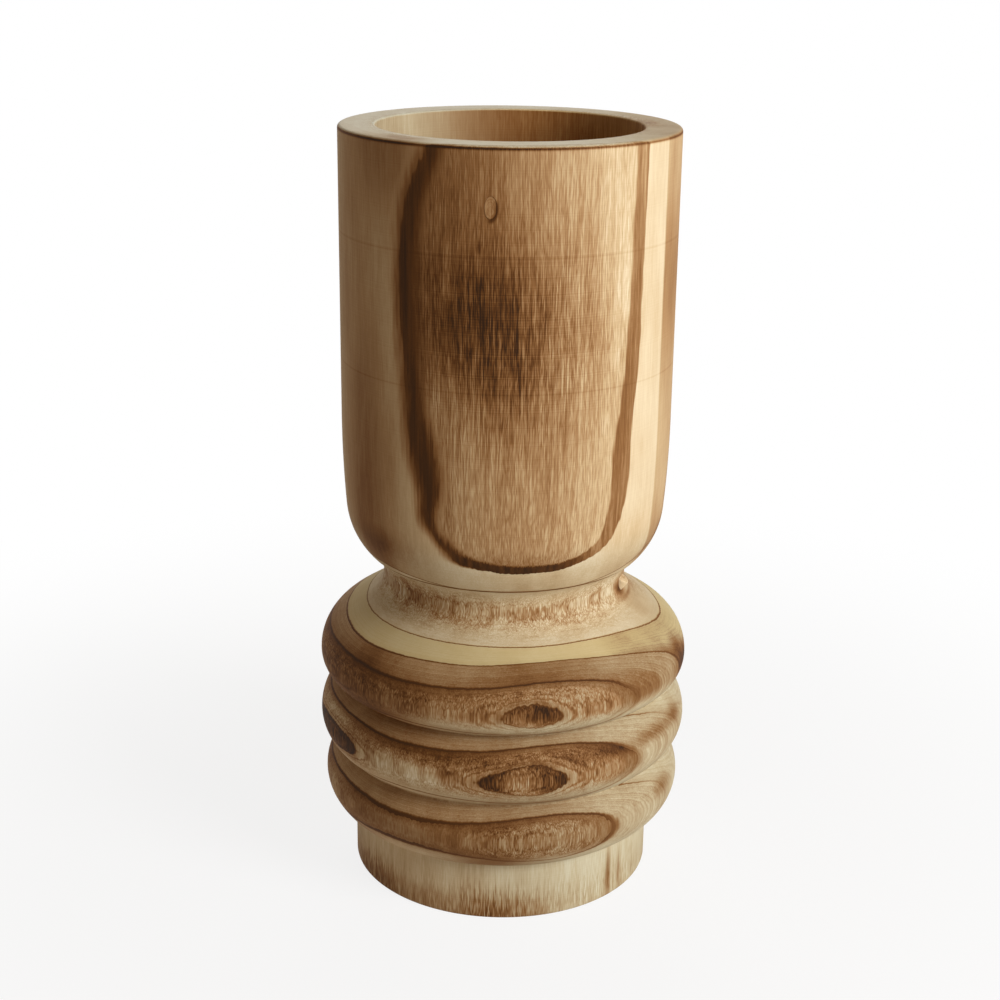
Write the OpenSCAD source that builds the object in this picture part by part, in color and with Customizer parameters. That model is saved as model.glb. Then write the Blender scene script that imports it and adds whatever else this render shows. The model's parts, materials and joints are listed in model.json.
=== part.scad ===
// Wooden vase turned from one log: a ribbed base, a coved neck and a deep straight cup.
// Every outline below is the half section from the axis outwards, revolved about Z.

/* [Overall] */
// Height of the vase
vase_h = 380; // [340:1:430]
// Outside diameter of the cup's straight wall
cup_d = 162.2; // [152:0.1:176]
// Thickness of the cup's wall
wall_t = 17.6; // [12:0.1:22]
// Radius of the eased outer edge of the rim
rim_outer_r = 1.6; // [0.5:0.1:4]
// Radius of the eased inner edge of the rim
rim_inner_r = 1; // [0.5:0.1:3]

/* [Foot] */
// Diameter of the foot
foot_d = 152.8; // [144:0.1:160]
// Width of the flat ring that the foot stands on
foot_ring_w = 20; // [12:0.5:30]
// Depth of the hollow turned under the foot
foot_hollow = 2; // [1:0.1:4]
// Radius of the eased lower edge of the foot
foot_edge_r = 1; // [0.5:0.1:3]

/* [Ribs] */
// Height of the lowest rib's crown above the ground
first_rib_z = 50; // [44:0.5:56]
// Rise from the crown of one rib to the next
rib_pitch = 33.3; // [31:0.1:36]
// Diameter at the bottom of the creases between the ribs
crease_d = 167; // [160:0.1:174]
// Diameter of the lowest rib's crown
low_rib_d = 183; // [177:0.1:190]
// Radius of the lowest rib below its crown
low_rib_under_r = 20.4; // [17:0.1:24]
// Radius of the lowest rib above its crown
low_rib_over_r = 19.4; // [16:0.1:22]
// Diameter of the middle rib's crown
middle_rib_d = 187.4; // [181:0.1:194]
// Radius of the middle rib below its crown
middle_rib_under_r = 18.6; // [16:0.1:22]
// Radius of the middle rib above its crown
middle_rib_over_r = 24; // [20:0.1:28]
// Diameter of the top rib's crown
top_rib_d = 186.6; // [181:0.1:192]
// Radius of the top rib below its crown
top_rib_under_r = 13.5; // [11:0.1:16]
// Radius of the top rib above its crown, where it runs into the shoulder
top_rib_over_r = 23.7; // [20:0.1:28]

/* [Shoulder and neck] */
// Slope of the shoulder above the horizontal
shoulder_angle = 32.5; // [28:0.1:38]
// Diameter of the neck at its narrowest
neck_d = 122; // [112:0.1:130]
// Radius of the cove that hollows the neck
cove_r = 14.4; // [11:0.1:17]
// How far the cove turns out again above its narrowest point
cove_angle = 61; // [45:0.5:68]
// Radius of the line scored where the cup leaves the neck
score_r = 0.4; // [0.2:0.1:0.8]

/* [Cup] */
// Radius of the round underside of the cup
belly_r = 38.6; // [30:0.1:50]
// Height of the slight swell between the underside and the straight wall
swell_h = 46; // [30:0.5:65]
// How much narrower the cup is at the bottom of the swell, on each side
swell_in = 1.8; // [0.6:0.1:3]
// Thickness of the wood between the scored line and the cup's floor above it
floor_t = 19.3; // [12:0.1:40]
// Radius in the corner of the cup's floor
floor_corner_r = 12; // [6:0.5:16]

/* [Pith bore and base plug] */
// Diameter of the bore that takes out the pith below the cup
pith_d = 44; // [30:0.5:60]
// Radius of the eased mouth of the pith bore in the cup's floor
pith_mouth_r = 3; // [1:0.1:5]
// Diameter of the base plug's flange
plug_d = 72; // [64:0.5:84]
// Thickness of the flange
plug_flange_t = 8; // [5:0.5:12]
// Length of the spigot that stands up into the pith bore
plug_spigot_h = 18; // [10:0.5:30]
// Chamfer on the end of the spigot
plug_chamfer = 1.5; // [0.5:0.1:3]
// Gap for glue around the plug
glue_gap = 0.15; // [0.1:0.05:0.3]

/* [Knots] */
// Gap left by the bark around each knot
bark_gap = 0.2; // [0.15:0.05:0.4]
// Diameter of the cup knot where it meets the surface
cup_knot_d = 5.4; // [4:0.1:7]
// Height of the cup knot below the rim
cup_knot_drop = 27; // [20:0.5:60]
// Place of the cup knot round the vase, to the right of the front
cup_knot_turn = -5.8; // [-30:0.1:30]
// Diameter of the neck knot where it meets the surface
neck_knot_d = 7; // [5:0.1:9]
// Place of the neck knot round the vase, to the right of the front
neck_knot_turn = 73; // [60:0.5:90]
// How far the neck knot stands proud of the neck
neck_knot_proud = 2.2; // [1:0.1:3]
// How far each knot reaches in, along its own axis
knot_len = 16; // [10:0.5:20]
// Rise of each branch above the horizontal as it grows outwards
branch_angle = 56; // [45:0.5:60]

/* [Hidden] */
$fn = 180;
// The swell's arc is so large that it takes more steps to come out smooth
swell_fn = 1440;
// How far cuts run past the face that they open
overrun = 3;
// Width of a knot's inner end against its outer end
knot_taper_share = 0.6;
// Radius of the neck knot's domed end against its diameter
knot_dome_share = 0.9;

cup_r = cup_d / 2;
bore_r = cup_r - wall_t;
foot_r = foot_d / 2;
crease_r = crease_d / 2;
neck_r = neck_d / 2;
pith_r = pith_d / 2;
top_rib_z = first_rib_z + 2 * rib_pitch;

// Each rib is its crown's radius and height, then its radii below and above the crown
RIBS = [
    [low_rib_d / 2, first_rib_z, low_rib_under_r, low_rib_over_r],
    [middle_rib_d / 2, first_rib_z + rib_pitch, middle_rib_under_r, middle_rib_over_r],
    [top_rib_d / 2, top_rib_z, top_rib_under_r, top_rib_over_r],
];

// The shoulder leaves the top rib as its tangent, and ends as the tangent of the cove
function slope(a) = [sin(a), cos(a)];
shoulder_start = [top_rib_d / 2 - top_rib_over_r, top_rib_z] + top_rib_over_r * slope(shoulder_angle);
cove_x = neck_r + cove_r;
cove_z = shoulder_start.y + (shoulder_start.x - cove_x) * tan(shoulder_angle) + cove_r / cos(shoulder_angle);
shoulder_end = [cove_x, cove_z] - cove_r * slope(shoulder_angle);

// The cup starts where the cove ends, and two arcs carry it out to its straight wall
cup_start = [cove_x - cove_r * cos(cove_angle), cove_z + cove_r * sin(cove_angle)];
floor_z = cup_start.y + floor_t;
swell_r = (swell_h * swell_h + swell_in * swell_in) / (2 * swell_in);
swell_angle = asin(swell_h / swell_r);
belly_angle = acos(cos(swell_angle) - (cup_r - swell_in - cup_start.x) / belly_r);
function below(a) = [cos(a), -sin(a)];
belly_centre = cup_start - belly_r * below(belly_angle);
swell_start = belly_centre + belly_r * below(swell_angle);
swell_centre = swell_start - swell_r * below(swell_angle);

// Levels of the plug, from the hollow under the foot upwards
flange_top_z = foot_hollow + plug_flange_t;
spigot_top_z = flange_top_z + plug_spigot_h;

// A plain band of the half section, from the axis out to r, between two heights
module band(r, low, high) {
    polygon([[0, low], [r, low], [r, high], [0, high]]);
}

// What is taken off a square corner at the origin, whose material lies at -X and -Y
module corner_ease(r) {
    difference() {
        translate([-r, -r]) square([r + overrun, r + overrun]);
        translate([-r, -r]) circle(r);
    }
}

// A rib seen in section, made of two quarter rounds that share the crown
module rib(crown_r, crown_z, under_r, over_r) {
    intersection() {
        translate([crown_r - under_r, crown_z]) circle(under_r);
        band(crown_r, crown_z - under_r, crown_z);
    }
    intersection() {
        translate([crown_r - over_r, crown_z]) circle(over_r);
        band(crown_r, crown_z, crown_z + over_r);
    }
}

module base_outline() {
    difference() {
        band(foot_r, 0, first_rib_z);
        translate([foot_r, 0]) mirror([0, 1]) corner_ease(foot_edge_r);
    }
    band(crease_r, first_rib_z, top_rib_z);
    for (r = RIBS) rib(r[0], r[1], r[2], r[3]);
}

module shoulder_and_neck_outline() {
    foot_of_shoulder = [shoulder_start.x, top_rib_z];
    polygon([[0, top_rib_z], foot_of_shoulder, shoulder_start, shoulder_end, [0, shoulder_end.y]]);
    difference() {
        band(cove_x, shoulder_end.y, cup_start.y);
        translate([cove_x, cove_z]) circle(cove_r);
    }
}

// The part of a round that lies between two levels, filled in to the axis
module turned_arc(centre, r, low, high) {
    intersection() {
        translate(centre) circle(r);
        band(cup_r, low, high);
    }
    if (centre.x > 0) band(centre.x, low, high);
}

module cup_outline() {
    turned_arc(belly_centre, belly_r, cup_start.y, swell_start.y);
    turned_arc(swell_centre, swell_r, swell_start.y, swell_centre.y, $fn = swell_fn);
    difference() {
        band(cup_r, swell_centre.y, vase_h);
        translate([cup_r, vase_h]) corner_ease(rim_outer_r);
    }
}

// The cup bore with its rounded floor, and the flare that eases its mouth
module cup_bore_outline() {
    band(bore_r, floor_z + floor_corner_r, vase_h + overrun);
    band(bore_r - floor_corner_r, floor_z, vase_h);
    translate([bore_r - floor_corner_r, floor_z + floor_corner_r]) circle(floor_corner_r);
    translate([bore_r, vase_h]) mirror([1, 0]) corner_ease(rim_inner_r);
}

// The pith bore, the flange's seat and the hollow under the foot
module pith_bore_outline() {
    band(pith_r, 0, floor_z + overrun);
    translate([pith_r, floor_z]) mirror([1, 0]) corner_ease(pith_mouth_r);
    band(plug_d / 2 + glue_gap, 0, flange_top_z);
    band(foot_r - foot_ring_w, -overrun, foot_hollow);
}

// Puts a knot at its height and turn, with its axis outwards and up along +Z
module on_branch(r, z, turn) {
    rotate([0, 0, turn]) translate([0, -r, z]) rotate([90 - branch_angle, 0, 0]) children();
}

// A branch's stub: a cone that widens outwards, and runs on past the surface
module branch_stub(d, gap, out) {
    r = d / 2;
    r_in = r * knot_taper_share;
    r_out = r + (r - r_in) * out / knot_len;
    translate([0, 0, -knot_len - gap]) {
        cylinder(h = knot_len + gap + out, r1 = r_in + gap, r2 = r_out + gap);
    }
}

module cup_knot_stub(gap, out) {
    on_branch(cup_r, vase_h - cup_knot_drop, cup_knot_turn) branch_stub(cup_knot_d, gap, out);
}

module neck_knot_stub(gap, out) {
    on_branch(neck_r, cove_z, neck_knot_turn) branch_stub(neck_knot_d, gap, out);
}

module turned_body() {
    color("burlywood")
    difference() {
        rotate_extrude() {
            difference() {
                union() {
                    base_outline();
                    shoulder_and_neck_outline();
                    cup_outline();
                }
                cup_bore_outline();
                pith_bore_outline();
                translate(cup_start) circle(score_r);
            }
        }
        cup_knot_stub(bark_gap, cup_knot_d);
        neck_knot_stub(bark_gap, neck_knot_d);
    }
}

module base_plug() {
    spigot_r = pith_r - glue_gap;
    color("tan")
    rotate_extrude() {
        band(plug_d / 2, foot_hollow, flange_top_z);
        difference() {
            band(spigot_r, foot_hollow, spigot_top_z);
            translate([spigot_r, spigot_top_z]) {
                polygon([[0, 0], [-plug_chamfer, 0], [0, -plug_chamfer]]);
            }
        }
    }
}

// Turned flush with the cup
module cup_knot() {
    color("peru")
    intersection() {
        cup_knot_stub(0, cup_knot_d);
        cylinder(h = vase_h, r = cup_r);
    }
}

// Harder than the wood round it, so it stands proud of the cove with a rubbed, domed end
module neck_knot() {
    dome_r = neck_knot_d * knot_dome_share;
    color("sienna")
    intersection() {
        neck_knot_stub(0, neck_knot_d);
        union() {
            cylinder(h = vase_h, r = neck_r);
            on_branch(neck_r, cove_z, neck_knot_turn) {
                translate([0, 0, neck_knot_proud - dome_r]) sphere(dome_r);
            }
        }
    }
}

turned_body();
base_plug();
cup_knot();
neck_knot();
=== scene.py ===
# %% [markdown]
# This lesson dresses a wooden vase that was turned from one log. The CAD model already has its real
# sizes, so the first step loads it as a fixed frame. Everything that follows is drawn in the same
# place and at the same size: the foot stands on z = 0, and the side that faces us looks along -Y.

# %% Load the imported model
import json
import math

import bmesh
import bpy
from mathutils import Matrix, Vector

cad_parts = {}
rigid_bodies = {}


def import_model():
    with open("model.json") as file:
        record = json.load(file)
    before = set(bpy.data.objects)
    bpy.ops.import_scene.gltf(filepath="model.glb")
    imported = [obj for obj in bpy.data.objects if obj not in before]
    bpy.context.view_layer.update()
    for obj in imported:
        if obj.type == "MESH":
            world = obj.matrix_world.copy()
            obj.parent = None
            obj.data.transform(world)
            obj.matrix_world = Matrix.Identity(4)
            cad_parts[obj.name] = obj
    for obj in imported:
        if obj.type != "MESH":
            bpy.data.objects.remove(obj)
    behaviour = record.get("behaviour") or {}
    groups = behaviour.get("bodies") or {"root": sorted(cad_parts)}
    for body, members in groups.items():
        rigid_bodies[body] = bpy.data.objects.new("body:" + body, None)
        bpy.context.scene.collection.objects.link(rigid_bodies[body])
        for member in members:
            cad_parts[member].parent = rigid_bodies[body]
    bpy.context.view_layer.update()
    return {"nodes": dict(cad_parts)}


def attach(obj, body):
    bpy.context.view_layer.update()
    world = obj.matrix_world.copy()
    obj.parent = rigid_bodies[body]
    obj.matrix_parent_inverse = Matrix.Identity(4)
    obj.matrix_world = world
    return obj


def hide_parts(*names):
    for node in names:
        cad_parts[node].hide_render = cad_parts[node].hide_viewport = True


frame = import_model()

MM = 0.001
print("CAD nodes:", sorted(frame["nodes"]))

# %% [markdown]
# The camera comes before the looks, because every later choice is judged through it. It stands a
# little above the rim and looks down at the vase with a fairly long lens, so the rim's ellipse is
# thin and the foot's is rounder. The small roll is the photographer's own, and it makes the vase lean.

# %% The camera
CAMERA_PLACE = (-0.0025, -0.8529, 0.4799)
CAMERA_PITCH = 18.56
CAMERA_ROLL = 0.733
LENS = 64.39
SENSOR = 36.0
NEAREST = 0.05


def place_camera():
    """Makes the camera that takes the picture."""
    camera = bpy.data.objects.new("camera", bpy.data.cameras.new("camera"))
    camera.data.lens = LENS
    camera.data.sensor_width = SENSOR
    camera.data.clip_start = NEAREST
    pitch = Matrix.Rotation(math.radians(90 - CAMERA_PITCH), 4, "X")
    roll = Matrix.Rotation(math.radians(CAMERA_ROLL), 4, "Z")
    camera.matrix_world = Matrix.Translation(CAMERA_PLACE) @ pitch @ roll
    bpy.context.scene.collection.objects.link(camera)
    bpy.context.scene.camera = camera
    return camera


camera = place_camera()
print("camera at", [round(v, 3) for v in camera.matrix_world.translation], "lens", LENS)

# %% [markdown]
# A turner works from a half section, which is the outline of one side of the vase, cut down the
# middle. We do the same. A small pen draws the section in the XZ plane: lines are extruded from its
# last vertex, and arcs are that vertex spun round a centre. Spinning the whole section once round Z
# then gives a clean, even mesh, which shades far better than the CAD model's loose triangles.

# %% A pen that draws sections
WELD = 0.01 * MM


class Pen:
    """Draws an outline in the XZ plane, in millimetres, from point to point."""

    def __init__(self, x, z, step):
        self.mesh = bmesh.new()
        self.step = step
        self.tip = self.mesh.verts.new((x * MM, 0, z * MM))

    def place(self):
        """Where the pen stands, as x and z."""
        return self.tip.co.x / MM, self.tip.co.z / MM

    def line(self, x, z):
        """A straight run to a point, in even steps."""
        end = Vector((x * MM, 0, z * MM))
        start = self.tip.co.copy()
        count = max(1, round((end - start).length / (self.step * MM)))
        for i in range(count):
            grown = bmesh.ops.extrude_vert_indiv(self.mesh, verts=[self.tip])
            self.tip = grown["verts"][0]
            self.tip.co = start.lerp(end, (i + 1) / count)

    def arc(self, centre, degrees, most=9.0):
        """Turns round a centre, to the left where degrees is positive, most degrees to a step."""
        middle = Vector((centre[0] * MM, 0, centre[1] * MM))
        length = abs(math.radians(degrees)) * (self.tip.co - middle).length / MM
        count = max(2, math.ceil(length / self.step), math.ceil(abs(degrees) / most))
        turned = bmesh.ops.spin(
            self.mesh, geom=[self.tip], cent=middle, axis=(0, -1, 0),
            angle=math.radians(degrees), steps=count, use_merge=False,
        )
        self.tip = [v for v in turned["geom_last"] if isinstance(v, bmesh.types.BMVert)][0]


def spin_section(pen, steps):
    """Closes the section, spins it once round Z and makes its faces point outwards."""
    mesh = pen.mesh
    bmesh.ops.remove_doubles(mesh, verts=mesh.verts, dist=WELD)
    bmesh.ops.spin(
        mesh, geom=mesh.verts[:] + mesh.edges[:], cent=(0, 0, 0), axis=(0, 0, 1),
        angle=math.tau, steps=steps, use_merge=True,
    )
    bmesh.ops.remove_doubles(mesh, verts=mesh.verts, dist=WELD)
    bmesh.ops.recalc_face_normals(mesh, faces=mesh.faces)


print("the pen is ready")

# %% [markdown]
# The section's sizes are those of the turned body, from the ground up: an upright foot, three round
# ribs, the shoulder, the coved neck, the round underside of the cup, its slight swell and its straight
# wall. Each curve runs into the next as a tangent, so the meeting points are worked out and not typed.
# A rib is given by the radius and height of its crown, and the radii of its curves below and above it.

# %% Sizes of the turned body
HEIGHT, CUP_R, WALL = 380.0, 81.1, 17.6
FOOT_R, FOOT_EDGE, FOOT_RING, FOOT_HOLLOW = 76.4, 1.0, 20.0, 2.0
CREASE_R = 83.5
RIBS = [(91.5, 50.0, 20.4, 19.4), (93.7, 83.3, 18.6, 24.0), (93.3, 116.6, 13.5, 23.7)]
SHOULDER_ANGLE, NECK_R, COVE_R, COVE_ANGLE, SCORE_R = 32.5, 61.0, 14.4, 61.0, 0.4
BELLY_R, SWELL_H, SWELL_IN = 38.6, 46.0, 1.8
RIM_OUTER, RIM_INNER = 1.6, 1.0
FLOOR_T, FLOOR_CORNER, PITH_R, PITH_MOUTH = 19.3, 12.0, 22.0, 3.0
PLUG_R, PLUG_FLANGE, PLUG_SPIGOT, PLUG_CHAMFER, GLUE_GAP = 36.0, 8.0, 18.0, 1.5, 0.15


def polar(centre, radius, degrees):
    """A point of a circle, measured from +X towards +Z."""
    angle = math.radians(degrees)
    return centre[0] + radius * math.cos(angle), centre[1] + radius * math.sin(angle)


def tangent_points():
    """Where the shoulder, the cove, the belly and the swell meet, and the arcs' centres."""
    crown, level, _, over = RIBS[2]
    start = polar((crown - over, level), over, 90 - SHOULDER_ANGLE)
    slope = math.radians(SHOULDER_ANGLE)
    cove_x = NECK_R + COVE_R
    cove = cove_x, start[1] + (start[0] - cove_x) * math.tan(slope) + COVE_R / math.cos(slope)
    score = polar(cove, COVE_R, 180 - COVE_ANGLE)
    swell_r = (SWELL_H**2 + SWELL_IN**2) / (2 * SWELL_IN)
    swell = math.degrees(math.asin(SWELL_H / swell_r))
    reach = (CUP_R - SWELL_IN - score[0]) / BELLY_R
    belly = math.degrees(math.acos(math.cos(math.radians(swell)) - reach))
    belly_c = polar(score, BELLY_R, 180 - belly)
    swell_start = polar(belly_c, BELLY_R, -swell)
    swell_c = CUP_R - swell_r, swell_start[1] + SWELL_H
    return cove, score, belly, belly_c, swell, swell_c


COVE, SCORE, BELLY_TURN, BELLY, SWELL_TURN, SWELL = tangent_points()
CUP_FLOOR = SCORE[1] + FLOOR_T
FLANGE_TOP = FOOT_HOLLOW + PLUG_FLANGE
SCORE_STOP = SCORE_R * 60
print("score line at radius %.2f, height %.2f; cup floor at %.2f" % (*SCORE, CUP_FLOOR))

# %% [markdown]
# Now the pen goes round the section once: up the outside, over the rim, down the bore, through the
# pith bore and back under the foot. It takes short steps outside, where light shows every facet, and
# long ones in the bore, which keeps the mesh within its budget of triangles.

# %% Draw and spin the turned body
OUTSIDE_STEP, INSIDE_STEP, TURN_STEPS = 2.2, 7.0, 288


def turn_to(pen, centre, radius, degrees):
    """Turns the pen round a centre until it stands at that angle."""
    x, z = pen.place()
    now = math.degrees(math.atan2(z - centre[1], x - centre[0]))
    pen.arc(centre, degrees - now)


def draw_ribs(pen):
    """Up round each rib and down into the crease above it, as far as the last rib's crown."""
    for index, (crown, level, under, over) in enumerate(RIBS):
        turn_to(pen, (crown - under, level), under, 0)
        if index + 1 < len(RIBS):
            crease = math.degrees(math.acos((CREASE_R - crown + over) / over))
            turn_to(pen, (crown - over, level), over, crease)
            next_crown, next_level, next_under, _ = RIBS[index + 1]
            reach = math.acos((CREASE_R - next_crown + next_under) / next_under)
            pen.line(CREASE_R, next_level - next_under * math.sin(reach))


def draw_outside():
    """From the ground to the rim. The curves stop a little short of the scored line, on both sides."""
    pen = Pen(FOOT_R - FOOT_EDGE, 0, OUTSIDE_STEP)
    pen.arc((FOOT_R - FOOT_EDGE, FOOT_EDGE), 90, most=30)
    crown, level, under, _ = RIBS[0]
    reach = math.acos((FOOT_R - crown + under) / under)
    pen.line(FOOT_R, level - under * math.sin(reach))
    draw_ribs(pen)
    crown, level, _, over = RIBS[2]
    turn_to(pen, (crown - over, level), over, 90 - SHOULDER_ANGLE)
    pen.line(*polar(COVE, COVE_R, 270 - SHOULDER_ANGLE))
    pen.arc(COVE, -(90 - SHOULDER_ANGLE + COVE_ANGLE) + SCORE_STOP / COVE_R, most=5)
    pen.line(SCORE[0] - SCORE_R, SCORE[1] - SCORE_R * 0.2)
    pen.line(*polar(BELLY, BELLY_R, -BELLY_TURN + SCORE_STOP / BELLY_R))
    turn_to(pen, BELLY, BELLY_R, -SWELL_TURN)
    turn_to(pen, SWELL, CUP_R - SWELL[0], 0)
    pen.line(CUP_R, HEIGHT - RIM_OUTER)
    pen.arc((CUP_R - RIM_OUTER, HEIGHT - RIM_OUTER), 90, most=18)
    return pen


def draw_inside(pen):
    """Over the rim, down the bores and back under the foot to the start."""
    bore = CUP_R - WALL
    pen.line(bore + RIM_INNER, HEIGHT)
    pen.arc((bore + RIM_INNER, HEIGHT - RIM_INNER), 90, most=18)
    pen.step = INSIDE_STEP
    pen.line(bore, CUP_FLOOR + FLOOR_CORNER)
    pen.arc((bore - FLOOR_CORNER, CUP_FLOOR + FLOOR_CORNER), -90, most=12)
    pen.line(PITH_R + PITH_MOUTH, CUP_FLOOR)
    pen.arc((PITH_R + PITH_MOUTH, CUP_FLOOR - PITH_MOUTH), 90, most=22)
    for corner in [
        (PITH_R, FLANGE_TOP), (PLUG_R + GLUE_GAP, FLANGE_TOP), (PLUG_R + GLUE_GAP, FOOT_HOLLOW),
        (FOOT_R - FOOT_RING, FOOT_HOLLOW), (FOOT_R - FOOT_RING, 0), (FOOT_R - FOOT_EDGE, 0),
    ]:
        pen.line(*corner)


pen = draw_outside()
draw_inside(pen)
spin_section(pen, TURN_STEPS)
print("turned body:", len(pen.mesh.verts), "vertices,", len(pen.mesh.faces), "faces")

# %% [markdown]
# A bmesh becomes an object in one helper. Edges that turn more sharply than a set angle are marked,
# so the long curves shade smoothly and the creases between the ribs stay crisp.

# %% Make an object of a mesh
CRISP_ANGLE = 32


def make_piece(mesh, name, replaced):
    """Gives a bmesh an object that rides on the vase and stands for a CAD node."""
    data = bpy.data.meshes.new(name)
    mesh.to_mesh(data)
    mesh.free()
    data.shade_smooth()
    data.set_sharp_from_angle(angle=math.radians(CRISP_ANGLE))
    piece = bpy.data.objects.new(name, data)
    bpy.context.scene.collection.objects.link(piece)
    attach(piece, "root")
    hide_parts(replaced)
    return piece


body = make_piece(pen.mesh, "turned_log", "turned_body")
print("made", body.name)

# %% [markdown]
# A branch's stub runs out and up through the log. The knots are such stubs: cones that widen
# outwards. A cone a little wider than the stub cuts its socket with a Boolean modifier, and the gap
# left between them is where the bark was.

# %% Sizes of the two knots
BRANCH_ANGLE, KNOT_LEN, KNOT_TAPER, BARK_GAP = 56.0, 16.0, 0.6, 0.2
STUB_SIDES = 48
CUP_KNOT = dict(radius=CUP_R, level=HEIGHT - 27.0, turn=-5.8, d=5.4, proud=0.0)
NECK_KNOT = dict(radius=NECK_R, level=COVE[1], turn=73.0, d=7.0, proud=2.2)


def branch_matrix(knot):
    """Puts +Z along the branch, with the origin where it meets the surface."""
    turn = Matrix.Rotation(math.radians(knot["turn"]), 4, "Z")
    place = Matrix.Translation((0, -knot["radius"] * MM, knot["level"] * MM))
    return turn @ place @ Matrix.Rotation(math.radians(90 - BRANCH_ANGLE), 4, "X")


def stub_mesh(knot, gap, out):
    """The cone of a stub, from its inner end to out millimetres beyond the surface."""
    mesh = bmesh.new()
    r = knot["d"] / 2
    inner = r * KNOT_TAPER
    outer = r + (r - inner) * out / KNOT_LEN
    length = KNOT_LEN + gap + out
    bmesh.ops.create_cone(
        mesh, cap_ends=True, segments=STUB_SIDES, depth=length * MM,
        radius1=(inner + gap) * MM, radius2=(outer + gap) * MM,
        matrix=branch_matrix(knot) @ Matrix.Translation((0, 0, (length / 2 - KNOT_LEN - gap) * MM)),
    )
    return mesh


def socket_reach(knot):
    """How far out a socket is cut: just beyond a stub that stands proud, or clear of the wall."""
    return knot["proud"] + BARK_GAP if knot["proud"] else knot["d"]


def cut_sockets(piece, knots):
    """Cuts the stubs' sockets out of the turned body, both in one go."""
    data = bpy.data.meshes.new("sockets")
    cones = bmesh.new()
    for knot in knots:
        cone = stub_mesh(knot, BARK_GAP, socket_reach(knot))
        cone.to_mesh(data)
        cone.free()
        cones.from_mesh(data)
    cones.to_mesh(data)
    cones.free()
    cutter = bpy.data.objects.new("sockets", data)
    bpy.context.scene.collection.objects.link(cutter)
    boolean = piece.modifiers.new("socket", "BOOLEAN")
    boolean.operation, boolean.solver, boolean.object = "DIFFERENCE", "MANIFOLD", cutter
    cut = bpy.data.meshes.new_from_object(piece.evaluated_get(bpy.context.evaluated_depsgraph_get()))
    piece.modifiers.clear()
    piece.data = cut
    bpy.data.objects.remove(cutter)


cut_sockets(body, (CUP_KNOT, NECK_KNOT))
body.data.set_sharp_from_angle(angle=math.radians(CRISP_ANGLE))
print("sockets cut;", len(body.data.polygons), "faces")

# %% [markdown]
# The wood's pattern is solid: it runs through the log as it did in the tree, and the turned surface
# only lays it open. So its shader is a formula of the place in the log. A small class wraps a
# socket, so that such formulas can be written as Python expressions, which add their Math nodes.

# %% A class for shader formulas
def operator(operation, swapped=False):
    """Makes a method that adds a Math node for two numbers or values."""
    def apply(self, other):
        pair = (other, self) if swapped else (self, other)
        return self.math(operation, *pair)
    return apply


class Value:
    """A number that varies over a surface: an output socket that knows arithmetic."""

    def __init__(self, tree, socket):
        self.tree, self.socket = tree, socket

    def node(self, kind, settings, inputs, output=0):
        """Adds any node: its settings first, then the values or links of its sockets."""
        node = self.tree.nodes.new(kind)
        for name, setting in settings.items():
            setattr(node, name, setting)
        for key, value in inputs.items():
            if isinstance(value, Value):
                self.tree.links.new(value.socket, node.inputs[key])
            else:
                node.inputs[key].default_value = value
        return Value(self.tree, node.outputs[output])

    def math(self, operation, first, *others):
        """Adds a Math node."""
        return self.node("ShaderNodeMath", {"operation": operation}, dict(enumerate((first, *others))))

    __add__, __radd__ = operator("ADD"), operator("ADD", swapped=True)
    __sub__, __rsub__ = operator("SUBTRACT"), operator("SUBTRACT", swapped=True)
    __mul__, __rmul__ = operator("MULTIPLY"), operator("MULTIPLY", swapped=True)
    __truediv__ = operator("DIVIDE")
    lowest, highest = operator("MINIMUM"), operator("MAXIMUM")

    def exp(self):
        """The number e to the power of this value."""
        return self.math("EXPONENT", self)

    def sqrt(self):
        """The square root of this value."""
        return self.math("SQRT", self)

    def bell(self, centre, width):
        """1 at the centre, falling away smoothly on both sides."""
        away = self - centre
        return self.math("POWER", math.exp(-1 / width**2), away * away)

    def rise(self, low, high):
        """0 below low and 1 above high, with a smooth step between; high may be the lower one."""
        inputs = {0: self, 1: low, 2: high, 3: 0.0, 4: 1.0}
        return self.node("ShaderNodeMapRange", {"interpolation_type": "SMOOTHSTEP"}, inputs)

    def blend(self, low, high):
        """From one number or value to another as this one goes from 0 to 1."""
        inputs = {0: self, 2: low, 3: high}
        return self.node("ShaderNodeMix", {"data_type": "FLOAT"}, inputs)

    def layers(self, detail=1.0):
        """Noise along this one number, from about -0.5 to 0.5."""
        inputs = {"W": self, "Scale": 1.0, "Detail": detail}
        return self.node("ShaderNodeTexNoise", {"noise_dimensions": "1D"}, inputs) - 0.5

    def tint(self, first, second, mode="MIX"):
        """From one colour to another as this value goes from 0 to 1."""
        inputs = {0: self, 6: first, 7: second}
        return self.node("ShaderNodeMix", {"data_type": "RGBA", "blend_type": mode}, inputs, 2)


print("shader formulas are ready")

# %% [markdown]
# Colours are written as a screen shows them, from 0 to 255, and a shader wants them as plain amounts
# of light, so one helper converts them. Another makes a material and hands back a Value that reads
# Object coordinates, which stay fixed to the wood wherever the piece is moved.

# %% Colours and new materials
def colour(red, green, blue):
    """A colour as a screen shows it, from 0 to 255, in the linear light that shaders use."""
    return (*[((v / 255 + 0.055) / 1.055) ** 2.4 if v > 10 else v / 3295 for v in (red, green, blue)], 1.0)


def new_material(name):
    """A material with a Principled shader, and a Value that reads its object's coordinates."""
    material = bpy.data.materials.new(name)
    material.use_nodes = True
    tree = material.node_tree
    place = tree.nodes.new("ShaderNodeTexCoord")
    return material, tree.nodes["Principled BSDF"], Value(tree, place.outputs["Object"])


print("a tan in linear light:", [round(v, 3) for v in colour(190, 158, 110)[:3]])

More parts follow.
